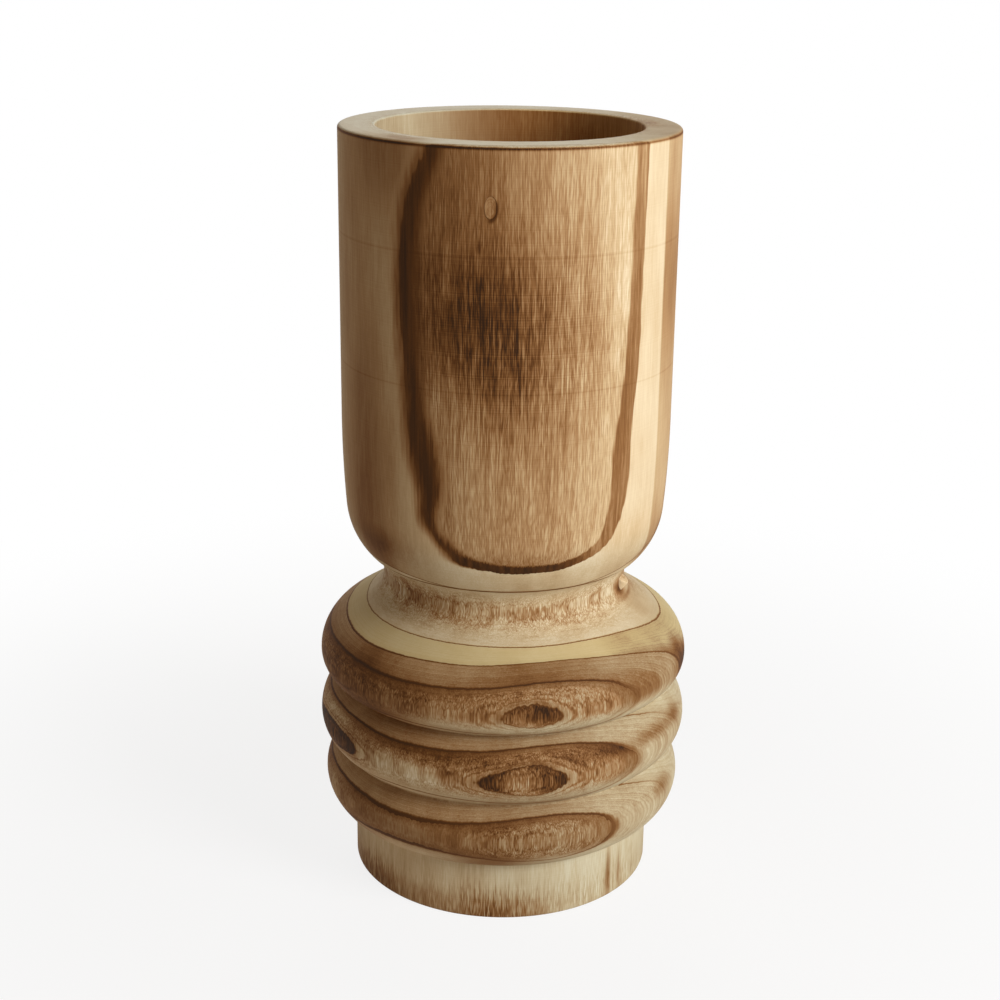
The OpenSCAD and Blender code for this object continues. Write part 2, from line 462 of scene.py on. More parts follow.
# %% [markdown]
# Three fields describe any point of the log: its distance from the axis, its height, and its turn
# round the vase in degrees from the front. The turn jumps from 180 to -180 at the back, so a second
# copy of it, the side, falls to 0 there, and a pattern that follows the side shows no seam. Noise is
# sampled in a space squeezed along Z, so it comes out as long streaks along the grain, just as the
# vessels of this coarse wood do. Everywhere below, places and widths round the vase are in degrees, and
# heights, depths and radii are in millimetres.

# %% Where a point lies in the log
class Spot:
    """A point's radius and height in millimetres, and its turn from the front in degrees."""

    def __init__(self, place):
        self.place = place
        scaled = place.node("ShaderNodeVectorMath", {"operation": "SCALE"}, {0: place, 3: 1 / MM})
        self.mm = scaled
        split = place.tree.nodes.new("ShaderNodeSeparateXYZ")
        place.tree.links.new(scaled.socket, split.inputs[0])
        self.x, self.y, self.z = (Value(place.tree, s) for s in split.outputs)
        self.radius = (self.x * self.x + self.y * self.y).sqrt()
        self.turn = place.math("ARCTAN2", self.x, self.y * -1.0) * math.degrees(1)
        self.side = self.turn * place.math("ABSOLUTE", self.turn).rise(178.0, 110.0)

    def round(self, centre, width):
        """A bell round the vase, which also joins up at the back."""
        away = self.place.math("WRAP", self.turn - centre, 180.0, -180.0)
        return away.bell(0.0, width)

    def patch(self, turn, width, level, depth):
        """1 in the middle of a soft patch of the surface, falling away on all sides."""
        return self.round(turn, width) * self.z.bell(level, depth)

    def noise(self, across, along, detail=1.0, w=None):
        """Noise from about -1 to 1, with features of that size in millimetres across and along."""
        inputs = {0: self.mm, 1: (1 / across, 1 / across, 1 / along)}
        squeezed = self.place.node("ShaderNodeVectorMath", {"operation": "MULTIPLY"}, inputs)
        sockets = {"Vector": squeezed, "Scale": 1.0, "Detail": detail}
        if w is not None:
            sockets["W"] = w
        kind = {"noise_dimensions": "3D" if w is None else "4D"}
        return (self.place.node("ShaderNodeTexNoise", kind, sockets) - 0.5) * 4.0


print("spots can be read")

# %% [markdown]
# The rings are not true circles. They bulge out at the right and are pressed in at the front, more
# so in the cup than in the base, and that is what draws the tall U on the cup and the closed eyes on
# the ribs. So each point gets a ring coordinate: its radius, less the bulge of the rings there. A
# ring line then is simply a place where this coordinate has one value.

# %% The ring coordinate
SIDE_TURN, SIDE_WIDTH = 84.0, 33.0
CUP_FROM, CUP_TO = 148.0, 182.0


def base_bulge(spot):
    """How far the rings stand out in the foot, the ribs and the shoulder."""
    r, z = spot.radius, spot.z
    side = spot.round(SIDE_TURN, SIDE_WIDTH) * (r * 0.35 - 19.25)
    wide_dent = spot.round(16.0, 22.0) * r.rise(73.0, 80.0) * r.rise(90.0, 93.5).blend(-3.0, -1.5)
    pucker = spot.round(7.0, 12.0) * r.rise(88.5, 92.5) * -1.6
    middle_pucker = spot.round(-4.0, 9.0) * z.bell(82.0, 13.0) * r.rise(90.0, 93.0) * -0.5
    low_rib = z.bell(50.0, 10.0) * r.rise(89.5, 91.0) * 0.4
    left_swell = spot.round(-54.0, 20.0) * r.bell(82.0, 5.0) * 1.3
    left_dent = spot.round(-62.0, 18.0) * r.rise(86.0, 90.0) * z.bell(81.0, 14.0).blend(-0.8, -2.1)
    far_left = spot.round(-96.0, 24.0) * -1.6
    return side + wide_dent + pucker + middle_pucker + low_rib + left_swell + left_dent + far_left


def cup_bulge(spot):
    """How far the rings stand out in the cup: a little beside the U, and far less inside it."""
    z, turn = spot.z, spot.turn
    left = z.bell(315.0, 50.0) * -4.5 + z.rise(350.0, 385.0) * 6.5 - 58.0
    left = left + z.bell(226.0, 16.0) * 2.0 + z.bell(205.0, 10.0) * -3.0 + z.rise(194.0, 185.0) * -6.0
    right = z.bell(243.0, 28.0) * -3.0 + z.rise(330.0, 370.0) * 1.5 + z.rise(198.0, 188.0) * -3.0 + 69.3
    inside_u = (turn - left).rise(0.0, 70.0) * (right - turn).rise(0.0, 54.0)
    return inside_u * -6.8 + spot.round(90.0, 22.0) * 9.0 + 1.6


def ring_coordinate(spot):
    """The radius less all that moves the rings: the bulges, two lobes behind, and slow and fine waves."""
    back = spot.round(180.0, 62.0)
    wander = spot.noise(75.0, 260.0) * back.blend(0.25, 3.4)
    back_lobe = spot.round(150.0, 30.0) * 3.0 - spot.round(-148.0, 26.0) * 4.0
    ripple = spot.noise(9.0, 60.0) * 0.12 + spot.noise(1.3, 12.0, 0.0) * 0.07
    bulge = spot.z.rise(CUP_FROM, CUP_TO).blend(base_bulge(spot), cup_bulge(spot))
    return spot.radius - bulge - back_lobe - wander - ripple


print("side bulge centred at", SIDE_TURN, "degrees")

# %% [markdown]
# Within one ring, growing outwards, the wood starts with wide open vessels, which are brown and
# streaky, and turns dense, smooth and pale before the next dark line. So each ring gets two values:
# its tone, from pale at 0 to dark at 1, and how strongly its vessels are drawn. Both also follow the
# log's own stains: it is browner at the left of the photograph and paler at the right. The cup, the
# ribs and the foot lie in the same rings at different places, so each has its own zone of heights.
# The two rings that most of the surface lies in come first, because they have patches of their own.

# %% The tones of the two widest rings
NECK_RING, SHOULDER_RING, CUP_RING, RIB_RING, EYE_RING = 54.0, 71.4, 81.6, 90.4, 95.15
INNER_RINGS = [6.0, 19.0, 31.0, 43.0]
NECK_PORES = 58.6
RING_SOFT, EYE_SOFT = 0.06, 0.13
CUP_ZONE, RIB_ZONE, FOOT_ZONE = (166.0, 174.0), (117.0, 108.0), (36.0, 28.0)


def fade(q, start, depth):
    """1 where a ring starts, fading over a depth in millimetres outwards."""
    return ((q - start).highest(0.0) / -depth).exp()


def eye_coordinate(spot, q):
    """The last ring is flatter in the middle of each eye, so that the eyes are long and low."""
    return q - spot.round(6.0, 9.0) * 0.28


def cup_tone(spot):
    """Inside the U: darker towards the left near the rim, and a dark patchy heart in the middle."""
    side, z = spot.side, spot.z
    near_rim = side.rise(50.0, -20.0) * 0.46 + 0.08
    near_foot = side.rise(50.0, 8.0) * 0.25 + 0.13
    patchy = spot.noise(9.0, 16.0, 2.0) * 0.35 + 1.0
    heart = spot.patch(-9.0, 23.0, 303.0, 32.0) * 0.3 + spot.patch(0.0, 11.0, 266.0, 24.0) * 0.16
    heart = heart * patchy
    heart = heart + spot.patch(26.0, 15.0, 305.0, 50.0) * 0.1 + spot.patch(4.0, 20.0, 187.0, 6.0) * 0.14
    return z.rise(250.0, 325.0).blend(near_foot, near_rim) + heart


def shoulder_tone(spot, q):
    """The smooth brown wood between the last two dark lines, on the shoulder."""
    side = spot.side
    tone = side.rise(66.0, 50.0).blend(0.22, 0.4)
    patches = spot.round(-48.0, 12.0) * 0.21 + spot.round(8.0, 15.0) * 0.16
    return tone + patches + q.rise(84.5, 89.5) * side.rise(36.0, 52.0).blend(0.1, 0.22)


def mottled_tone(spot, q):
    """The coarse wood of the ring that most of the ribs' surface lies in."""
    side, z = spot.side, spot.z
    tone = side.rise(40.0, -36.0).blend(0.34, 0.46) + spot.round(-60.0, 24.0) * z.rise(66.0, 76.0) * 0.1
    pale_left = side.rise(-55.0, -46.0) * side.rise(-8.0, -24.0) * z.bell(82.0, 8.0) * 0.4
    far_left = spot.patch(-67.0, 17.0, 93.0, 5.0) * 0.42
    low_left = z.rise(61.0, 53.0) * (spot.round(-32.0, 22.0) * 0.15 + 0.02)
    low_left = low_left + z.rise(66.0, 60.0) * spot.round(-70.0, 10.0) * 0.16
    low_rib = z.rise(66.0, 58.0) * spot.round(0.0, 24.0) * 0.1 - low_left
    hook = spot.patch(-18.0, 3.0, 86.0, 3.5) * 0.26
    dark_top = spot.round(14.0, 32.0) * 0.13 + spot.round(32.0, 12.0) * 0.13 + spot.round(-24.0, 20.0) * 0.09
    tone = tone - pale_left - far_left + low_rib + hook + dark_top * z.bell(93.5, 4.0)
    return tone + fade(q, RIB_RING, 1.8) * 0.3 + q.rise(94.4, 94.9) * 0.06


print("last dark lines at ring coordinates", CUP_RING, "and", RIB_RING)

# %% [markdown]
# Now all the rings are listed from the pith outwards, and each one is laid over the last where the
# ring coordinate passes its start. Round the neck, the open vessels begin a little outside the start
# of their ring. The last ring is the dark wood in the closed eyes on the ribs.

# %% Tone and vessels of all the rings
def ring_zones(spot, q):
    """From the pith outwards: where each ring starts, its tone and the strength of its vessels."""
    turn, side, z = spot.turn, spot.side, spot.z
    left = spot.round(-58.0, 30.0)
    cup, ribs, foot = z.rise(*CUP_ZONE), z.rise(*RIB_ZONE), z.rise(*FOOT_ZONE)
    zones = []
    for start in INNER_RINGS:
        zones.append((start, fade(q, start, 3.0) * 0.17 + 0.22, fade(q, start, 5.0) * 0.4 + 0.2))
    neck = fade(q, NECK_PORES, 4.5)
    neck_tone = neck * (spot.round(-38.0, 20.0) * 0.26 - spot.round(57.0, 11.0) * 0.26 + 0.24)
    neck_tone = neck_tone + spot.round(78.0, 18.0) * 0.07 + 0.11
    zones.append((NECK_RING, neck_tone, neck * (1.0 - spot.round(78.0, 19.0)) * 2.5))
    beside_u = cup * (spot.round(-60.0, 34.0) * 0.3 + spot.round(-50.0, 12.0) * z.rise(290.0, 200.0) * 0.1)
    tan_side = turn.rise(61.5, 63.0) * turn.rise(100.0, 84.0) * (z.bell(315.0, 35.0) * 0.2 + 0.2) * cup
    low_right = cup * spot.round(50.0, 14.0) * z.rise(215.0, 187.0) * 0.12
    brown = spot.round(49.0, 10.0) * 0.17 + spot.round(72.0, 18.0) * 0.16
    right_shoulder = (1.0 - cup) * (1.0 - ribs) * brown
    base = (1.0 - cup) * (q.rise(78.5, 81.5) * 0.1 + 0.08) + ribs * 0.04 - foot * 0.05 + 0.08
    zones.append((SHOULDER_RING, beside_u + tan_side + low_right + right_shoulder + base, foot * 0.4 + 0.12))
    rib_tone = side.rise(52.0, -4.0).blend(0.26, 0.47) + left * z.rise(75.0, 60.0) * -0.12
    wide_ring = cup.blend(ribs.blend(shoulder_tone(spot, q), rib_tone), cup_tone(spot))
    coarse_heart = spot.patch(-2.0, 30.0, 290.0, 45.0) * 0.7
    zones.append((CUP_RING, wide_ring, cup.blend(0.25, coarse_heart + 0.6)))
    mottled_vessels = q.rise(95.0, 94.5).blend(0.5, q.rise(91.0, 92.6).blend(0.35, 1.0))
    zones.append((RIB_RING, mottled_tone(spot, q), mottled_vessels))
    pale_eye = z.bell(82.0, 9.0) * (spot.round(6.0, 4.4) * 0.38 - 0.08)
    eye = fade(q, EYE_RING, 0.8) * 0.4 + left * 0.14 - pale_eye + 0.48
    zones.append((EYE_RING, eye, 1.3))
    return zones


def ring_tone(spot, q):
    """The tone and the vessels' strength, with one ring laid over the last from the pith outwards."""
    tone, vessels = 0.2, 0.3
    for start, ring, strength in ring_zones(spot, q):
        at, soft = (eye_coordinate(spot, q), EYE_SOFT) if start == EYE_RING else (q, RING_SOFT)
        past = at.rise(start - soft, start + soft)
        tone, vessels = past.blend(tone, ring), past.blend(vessels, strength)
    return tone, vessels


print("rings start at", [*INNER_RINGS, NECK_RING, SHOULDER_RING, CUP_RING, RIB_RING, EYE_RING])

# %% [markdown]
# Between two rings runs a thin dark line. On the cup the surface lies almost along one ring, so that
# ring's line opens into a broad dark band, crisp outside the U and ragged where the vessels begin.

# %% The dark lines between the rings
def dark_line(q, start, width, strength):
    """A line just inside a ring's start, with a crisp outer edge."""
    return q.rise(start - width, start - width * 0.3) * q.rise(start + 0.1, start) * strength


def cup_band(spot, q, drawn):
    """The broad dark band of the U: its left arm, its right arm and its bottom."""
    side, z = spot.side, spot.z
    left_arm, right_arm = side.rise(-6.0, -22.0), side.rise(14.0, 34.0)
    outer = (q - CUP_RING).rise(left_arm * -0.65 - 0.08, left_arm * 0.3 + 0.04)
    ragged = q - CUP_RING + drawn * right_arm.blend(0.5, 0.1)
    bottom = z.rise(193.0, 185.0)
    deep = bottom * 0.9 + right_arm * ((1.0 - bottom) * 0.55 + z.bell(232.0, 24.0) * 0.35)
    deep = deep + left_arm * (z.bell(238.0, 20.0) * 0.36 - z.bell(204.0, 12.0) * 0.3) + 0.62
    inner = ragged.rise(deep + left_arm * 0.4 - right_arm * 0.3 + 0.5, deep)
    streaks = spot.noise(1.8, 70.0) * 0.14 + left_arm * (spot.noise(6.0, 45.0) * 0.1 - 0.02)
    near_rim = z.rise(340.0, 375.0) * (left_arm * 0.08 + right_arm * 0.12)
    return outer * inner * (right_arm.blend(0.86, 0.44) + streaks - near_rim)


def ring_lines(spot, q, drawn):
    """All the dark lines, the darkest of them where two meet."""
    side, z = spot.side, spot.z
    cup, ribs = z.rise(*CUP_ZONE), z.rise(*RIB_ZONE)
    left = spot.round(-60.0, 34.0)
    shoulder = dark_line(q, SHOULDER_RING, 0.7, z.rise(300.0, 220.0) * z.rise(20.0, 44.0) * 0.6)
    closing = side.rise(66.0, 36.0).blend(ribs.blend(0.4, 0.04), 0.66) + left * 0.2
    thin = dark_line(q, CUP_RING, left * 0.6 + 0.6, closing)
    rib = side.rise(50.0, 30.0).blend(0.2, 0.78) + left * 0.12 + z.bell(86.0, 12.0) * 0.08
    rib = dark_line(q, RIB_RING, left * 0.4 + 0.7, rib)
    eye_q = eye_coordinate(spot, q)
    inner_eye = dark_line(eye_q, EYE_RING - 0.6, 0.2, 0.3)
    eye = dark_line(eye_q, EYE_RING, 0.16, 0.6)
    band = cup_band(spot, q, drawn)
    lines = shoulder.highest(cup.blend(thin, band)).highest(rib).highest(eye).highest(inner_eye)
    for start in INNER_RINGS + [NECK_RING]:
        lines = lines.highest(dark_line(q, start, 0.6, 0.3))
    return lines


print("lines are ready")

# %% [markdown]
# The vessels are thin, dark and slightly wavy lines along the grain. A sharp line comes out of soft
# noise where the noise crosses zero. Where the turned surface cuts across the rings, the same lines
# show as short dashes, and a second pattern that follows the rings gives the small nested arches.

# %% Vessels
def crossing(noise, width):
    """1 where a noise crosses zero, falling off on both sides."""
    return noise.math("ABSOLUTE", noise).rise(width, 0.0)


def ring_grain(spot, q):
    """Fine layers inside each ring, from about -1 to 1, which show as contour lines."""
    bent = (q + spot.noise(5.0, 30.0) * 0.12) * 2.2
    return bent.layers(1.5) * 3.0


def vessel_lines(spot, q):
    """Darkness of the vessels, from 0 between them to about 1."""
    cup = spot.z.rise(166.0, 176.0)
    wide = crossing(spot.noise(2.3, 50.0), 0.5)
    coarse = crossing(spot.noise(1.2, 30.0), 0.6)
    fine = crossing(spot.noise(0.6, 10.0), 0.7)
    wavy = q + spot.noise(2.0, 22.0) * 0.7
    arches = crossing(spot.noise(16.0, 60.0, 0.0, w=wavy * 1.1), 0.4)
    base = coarse * 0.19 + wide * 0.06 + fine * 0.44 + arches * 0.34
    return cup.blend(base, coarse * 0.38 + fine * 0.4 + wide * 0.1)


print("vessels are ready")

# %% [markdown]
# A log is never of one colour. Sap and water left brown patches on it, most of them at its right and
# its left, and on the foot they drew short dashes that rise from the ground. Each patch is a soft bell
# round the vase times another along its height, and noise makes its edge uneven. The same soft bells
# also paint light and shade: round the neck's knot, and under the cup.

# %% Stains, and painted light and shade
RIB_STAINS = [
    (75.0, 15.0, 117.0, 8.0, 0.38), (56.0, 18.0, 92.0, 3.5, 0.26), (70.0, 6.0, 93.0, 5.0, 0.16),
    (64.0, 9.0, 56.0, 4.0, 0.2), (61.0, 8.0, 128.0, 5.0, 0.1), (72.0, 7.0, 127.0, 5.0, 0.2),
    (79.0, 6.0, 118.0, 6.0, 0.3),
]


def cup_stains_and_shade(spot):
    """Brown streaks on the left of the cup, brown wood low on its round underside, and painted shade all
    round the underside.
    """
    z = spot.z
    streak = spot.round(-55.0, 8.0) * z.rise(320.0, 250.0) * 0.14
    low = spot.patch(-48.0, 11.0, 189.0, 7.0) * 0.24
    top = spot.round(-42.0, 12.0) * z.rise(340.0, 375.0) * 0.28
    right = spot.patch(75.0, 8.0, 184.0, 8.0) * 0.3 + spot.patch(63.0, 8.0, 177.0, 5.0) * 0.2
    # Painted shade under the cup, where it overhangs the neck, deepest just right of the front.
    under = z.rise(190.0, 180.0) * (spot.round(14.0, 20.0) * 0.14 + 0.02)
    return (streak + low + top + right + under) * z.rise(168.0, 174.0) * spot.radius.rise(66.0, 70.0)


def foot_stains(spot):
    """Short brown and reddish dashes that rise from the ground, where the foot drank water."""
    z = spot.z
    tall = spot.noise(1.2, 200.0) * 7.0 + 17.0
    height = (z - tall).rise(7.0, -14.0)
    left, middle = spot.round(-58.0, 12.0) * 0.28, spot.round(-3.0, 14.0) * 0.24
    dashes = crossing(spot.noise(0.8, 9.0), 0.8) * height * (left + middle + 0.12)
    right = spot.patch(45.5, 1.3, 15.0, 13.0) * 0.34 + spot.patch(52.0, 1.0, 14.0, 9.0) * 0.2
    ground = (z.rise(17.0, 3.0) * 0.13 + 0.05) * spot.side.rise(30.0, 0.0)
    return (dashes + right + ground) * z.rise(34.0, 28.0) * spot.radius.rise(66.0, 72.0)


def painted_light_at_neck_knot(spot):
    """Painted light beside the neck's knot: brown painted shade at its left, a pale painted highlight at its
    right and a painted shadow below them.
    """
    z = spot.z
    # Painted shade on the unlit left of the knot's spur.
    painted_left_shade = spot.round(68.5, 5.0) * (z + (spot.turn - 69.0) * 0.35).bell(155.3, 3.6) * 0.56
    # A painted shadow below the pale patch.
    shadow = spot.patch(80.0, 9.0, 149.6, 0.9) * 0.2
    # The pale patch taken off here is a painted highlight on the knot's lit right.
    return painted_left_shade + shadow - spot.patch(84.0, 7.0, 155.0, 4.5) * 0.2


def stains(spot):
    """Brown patches on the cup, on the ribs and on the foot, and painted light and shade round the neck's
    knot and under the cup.
    """
    z = spot.z
    patchy = spot.noise(9.0, 40.0, 2.0) * 0.35 + 1.0
    ribs = painted_light_at_neck_knot(spot)
    for turn, width, level, depth, tone in RIB_STAINS:
        ribs = ribs + spot.patch(turn, width, level, depth) * tone
    marks = spot.round(-9.2, 0.9) * (z.bell(318.0, 5.0) * 0.3 + z.bell(336.0, 3.5) * 0.2)
    return (cup_stains_and_shade(spot) + ribs) * patchy + marks + foot_stains(spot)


print("stains:", len(RIB_STAINS), "patches on the ribs and the shoulder")

# %% [markdown]
# The tool leaves marks too. Below the widest line of each rib it cut the wood cleanly, so the vessels
# hardly show there. The lathe leaves faint rings round the cup, two of them deeper, and a scored line
# at the neck. The small knot's shadow is drawn here as well, for the log and the knot share it.

# %% Marks of the tool, and the small knot's shadow
def undersides(spot):
    """How smooth the wood is just below the widest line of each rib, and its tone there."""
    side, z = spot.side, spot.z
    amount = z.bell(109.8, 4.8) + z.bell(72.5, 5.2) + z.bell(37.0, 4.2)
    upper = side.rise(-22.0, -43.0) * 0.5 + spot.round(-80.0, 14.0) * -0.2 + 0.22
    middle = spot.round(12.0, 24.0) * 0.15 + spot.round(56.0, 12.0) * 0.11 + 0.17
    lower = spot.round(-3.0, 12.0) * 0.42 + spot.round(-58.0, 13.0) * 0.4 + 0.2
    return amount * 0.85, z.rise(50.0, 58.0).blend(lower, z.rise(86.0, 94.0).blend(middle, upper))


def knot_crescent(spot):
    """The dark shadow at the right and the bottom of the small knot, on both sides of its edge."""
    r = CUP_KNOT["d"] / 2
    across = (spot.turn - CUP_KNOT["turn"]) * (math.radians(CUP_R) / r)
    up = (spot.z - CUP_KNOT["level"]) / (r / math.cos(math.radians(BRANCH_ANGLE)))
    away = (across * across + up * up).sqrt()
    return away.bell(1.06, 0.24) * (across * 0.8 - up * 0.6).rise(-0.1, 0.8)


def turning_marks(spot):
    """Faint rings left by the tool and the sandpaper, two deeper ones, and the scored neck line."""
    z = spot.z
    fine = (z * 1.6).layers(2.0)
    deep = z.bell(331.5, 0.4) + z.bell(270.0, 0.4)
    score = z.bell(SCORE[1], 0.55) * spot.radius.rise(78.0, 70.0) * spot.radius.rise(60.0, 64.0)
    rim = z.bell(HEIGHT - 1.2, 0.6) * spot.radius.rise(79.5, 81.0)
    sanded = spot.patch(-2.0, 28.0, 295.0, 42.0) * 0.2 + 0.05
    return fine * sanded + deep * 0.06 + score * 0.6 + rim * 0.5


print("scored line at height", round(SCORE[1], 1))

# %% [markdown]
# The tone picks a colour from a ramp, and all four pieces of wood share that ramp and the way it is
# linked to a shader. The gloss is low, because the wood is sanded and waxed, and the relief is slight:
# vessels and dark lines lie a little deeper than the wood beside them.

# %% The colours and the finish of wood
SPECULAR, RELIEF = 0.2, 0.4


def wood_colours(tone):
    """A ramp from the palest wood to the darkest lines."""
    stops = [
        (0.0, colour(233, 216, 183)), (0.2, colour(208, 181, 139)), (0.4, colour(174, 136, 93)),
        (0.6, colour(136, 93, 51)), (0.8, colour(94, 55, 16)), (1.0, colour(47, 24, 1)),
    ]
    ramp = tone.tree.nodes.new("ShaderNodeValToRGB")
    while len(ramp.color_ramp.elements) < len(stops):
        ramp.color_ramp.elements.new(0.5)
    for element, (place, shade) in zip(ramp.color_ramp.elements, stops):
        element.position, element.color = place, shade
    tone.tree.links.new(tone.socket, ramp.inputs[0])
    return Value(tone.tree, ramp.outputs[0])


def finish_wood(shader, shade, rough, height, depth):
    """Links a wood's colour, its gloss and its relief, whose depth is in millimetres."""
    tree = shade.tree
    tree.links.new(shade.socket, shader.inputs["Base Color"])
    tree.links.new(rough.socket, shader.inputs["Roughness"])
    shader.inputs["Specular IOR Level"].default_value = SPECULAR
    relief = {"Strength": RELIEF, "Distance": depth * MM, "Height": height}
    tree.links.new(shade.node("ShaderNodeBump", {}, relief).socket, shader.inputs["Normal"])


print("wood colours are ready")

# %% [markdown]
# The log's material puts it all together. Its finer tints follow the ramp: the dense wood between the
# neck and the first dark line is yellower, the smooth pale wood of the base and the end grain of the
# rim are greyer and greener than the cup, and on the base's lit right a grey-green sheen is painted
# too. The bore has painted light: it is paler and greyer at its lit left, and darker and warmer at
# its shaded right, partly from the wood's own tone.

# %% The material of the log
YELLOW_WOOD = colour(206, 186, 128)
GREY_TINT, WARM_TINT = (0.88, 1.03, 1.2, 1.0), (1.12, 0.98, 0.72, 1.0)


def log_tone(spot, q, drawn, bore, rim):
    """The tone of the surface, and how strongly its vessels and its ring lines are drawn."""
    tone, vessels = ring_tone(spot, q)
    # The bore's wall: paler at its lit left and darker towards its shaded right, partly the wood's own tone
    # and partly painted shade.
    tone = bore.blend(tone, spot.x.rise(-50.0, 0.0) * 0.35 - spot.x.rise(15.0, 60.0) * 0.12 + 0.21)
    tone = rim.blend(tone, tone * 0.2 + spot.x.rise(30.0, 75.0) * 0.2 + 0.02)
    under, under_tone = undersides(spot)
    tone = under.blend(tone, under_tone)
    foot_top = spot.z.rise(36.0, 30.0) * spot.z.rise(4.0, 24.0)
    vessels = vessels * bore.blend(1.0, 0.2) * under.blend(1.0, 0.2) * foot_top.blend(1.0, 0.4)
    lines = ring_lines(spot, q, drawn) * under.blend(1.0, 0.5) * rim.blend(1.0, 0.3)
    lines = lines.highest(knot_crescent(spot) * 0.75)
    grain = ring_grain(spot, q) * spot.z.rise(166.0, 158.0) * spot.z.rise(32.0, 40.0)
    blotch = spot.noise(14.0, 45.0, 2.0)
    bands = spot.noise(3.2, 90.0)
    tone = tone + stains(spot) + turning_marks(spot) + blotch * 0.05
    tone = tone + grain * q.rise(70.0, 84.0).blend(0.02, 0.09)
    tone = tone + bands * (vessels * 0.05 + 0.01) + (drawn - 0.3) * (vessels * 0.42 + 0.03)
    return tone.highest(0.0) + lines * (1.0 - tone.lowest(0.85)), vessels, lines


def log_shade(spot, q, tone, vessels, bore, rim):
    """The colour that a tone has at its place, with the finer tints and the painted light in the bore and on
    the base's lit right.
    """
    yellow = tone.rise(0.5, 0.25) * q.rise(70.0, 72.0) * q.rise(82.0, 81.0) * spot.z.rise(100.0, 110.0)
    yellow = yellow * spot.z.rise(168.0, 160.0) * 0.55
    shade = yellow.tint(wood_colours(tone), YELLOW_WOOD)
    smooth = vessels.rise(0.9, 0.3).highest(spot.z.rise(72.0, 64.0) * 0.8)
    smooth = smooth.blend(1.0 - tone.rise(0.2, 0.6), 1.0 - tone.rise(0.4, 0.8))
    # Under the cup and on the rim the grey is the wood's own; at the left of the bore it is painted light on
    # the lit wall.
    grey_cup = spot.z.rise(200.0, 182.0) * 0.45 + bore * spot.x.rise(10.0, -50.0) * 0.7 + rim * 0.65
    # The smooth base is greyer and greener towards its lit right: partly the wood's own grey, partly a
    # painted sheen.
    base_grey_and_sheen = spot.side.rise(-42.0, 14.0).blend(0.12, 1.0)
    grey = smooth * (1.0 - yellow) * spot.z.rise(144.0, 130.0).blend(grey_cup, base_grey_and_sheen)
    shade = grey.tint(shade, GREY_TINT, "MULTIPLY")
    # Painted warm light, standing for light bounced into the shaded right of the bore.
    painted_bounce_warmth = bore * spot.x.rise(-30.0, 20.0) * 0.8
    return painted_bounce_warmth.tint(shade, WARM_TINT, "MULTIPLY")


def log_material():
    """The material of the turned log: the tone first, then its colour, its gloss and its relief."""
    material, shader, place = new_material("turned_log_wood")
    spot = Spot(place)
    q = ring_coordinate(spot)
    bore = spot.radius.rise(65.0, 64.0) * spot.z.rise(CUP_FLOOR - 1.0, CUP_FLOOR)
    rim = spot.z.rise(HEIGHT - 0.9, HEIGHT - 0.3)
    drawn = vessel_lines(spot, q)
    tone, vessels, lines = log_tone(spot, q, drawn, bore, rim)
    shade = log_shade(spot, q, tone, vessels, bore, rim)
    relief = drawn * (vessels * -0.8 - 0.1) - lines * 0.5
    finish_wood(shader, shade, tone * 0.1 + 0.68, relief, 0.15)
    return material


log_wood = log_material()
body.data.materials.clear()
body.data.materials.append(log_wood)
print("log wood has", len(log_wood.node_tree.nodes), "nodes")

# %% [markdown]
# The plug under the foot and the two knots are pieces of their own. The plug comes first: it is spun
# from its own short section, a wide flange that fills the foot and a spigot that fills the pith bore.

# %% The base plug
PLUG_STEP, PLUG_TURN_STEPS, PLUG_EDGE, PLUG_PLAY = 3.0, 96, 0.4, 0.01


def draw_plug():
    """The plug's half section, from the middle of its underside to the middle of its top."""
    spigot_r, top = PITH_R - GLUE_GAP, FLANGE_TOP + PLUG_SPIGOT
    flange = FLANGE_TOP - PLUG_PLAY
    plug = Pen(0, FOOT_HOLLOW, PLUG_STEP)
    plug.line(PLUG_R - PLUG_EDGE, FOOT_HOLLOW)
    for corner in [
        (PLUG_R, FOOT_HOLLOW + PLUG_EDGE), (PLUG_R, flange), (spigot_r, flange),
        (spigot_r, top - PLUG_CHAMFER), (spigot_r - PLUG_CHAMFER, top), (0, top),
    ]:
        plug.line(*corner)
    return plug


plug_pen = draw_plug()
spin_section(plug_pen, PLUG_TURN_STEPS)
plug = make_piece(plug_pen.mesh, "pith_plug", "base_plug")
print("made", plug.name)

# %% [markdown]
# Each knot is its cone, cut flush with the cup or rounded off above the neck. A vertex beyond the cup's
# wall is drawn back along its own edge until it meets the wall, so the knot keeps the cup's roundness.

# %% The knots
STUB_ROUNDING, HALVINGS = 1.6, 20


def cut_flush(mesh, radius):
    """Draws the stub's outer end back along the branch to the round wall that it stands in."""
    outer = [v for v in mesh.verts if v.co.xy.length > radius * MM]
    for vertex in outer:
        along = [edge.other_vert(vertex) for edge in vertex.link_edges]
        inside = [v for v in along if v not in outer][0].co.copy()
        outside = vertex.co.copy()
        for _ in range(HALVINGS):
            middle = inside.lerp(outside, 0.5)
            if middle.xy.length < radius * MM:
                inside = middle
            else:
                outside = middle
        vertex.co = inside


def round_end(mesh, radius, width):
    """Rounds the edge of the stub's outer end."""
    end = [e for e in mesh.edges if min(v.co.xy.length for v in e.verts) > radius * MM]
    bmesh.ops.bevel(
        mesh, geom=end, offset=width * MM, segments=4, profile=0.5, affect="EDGES", material=-1,
    )


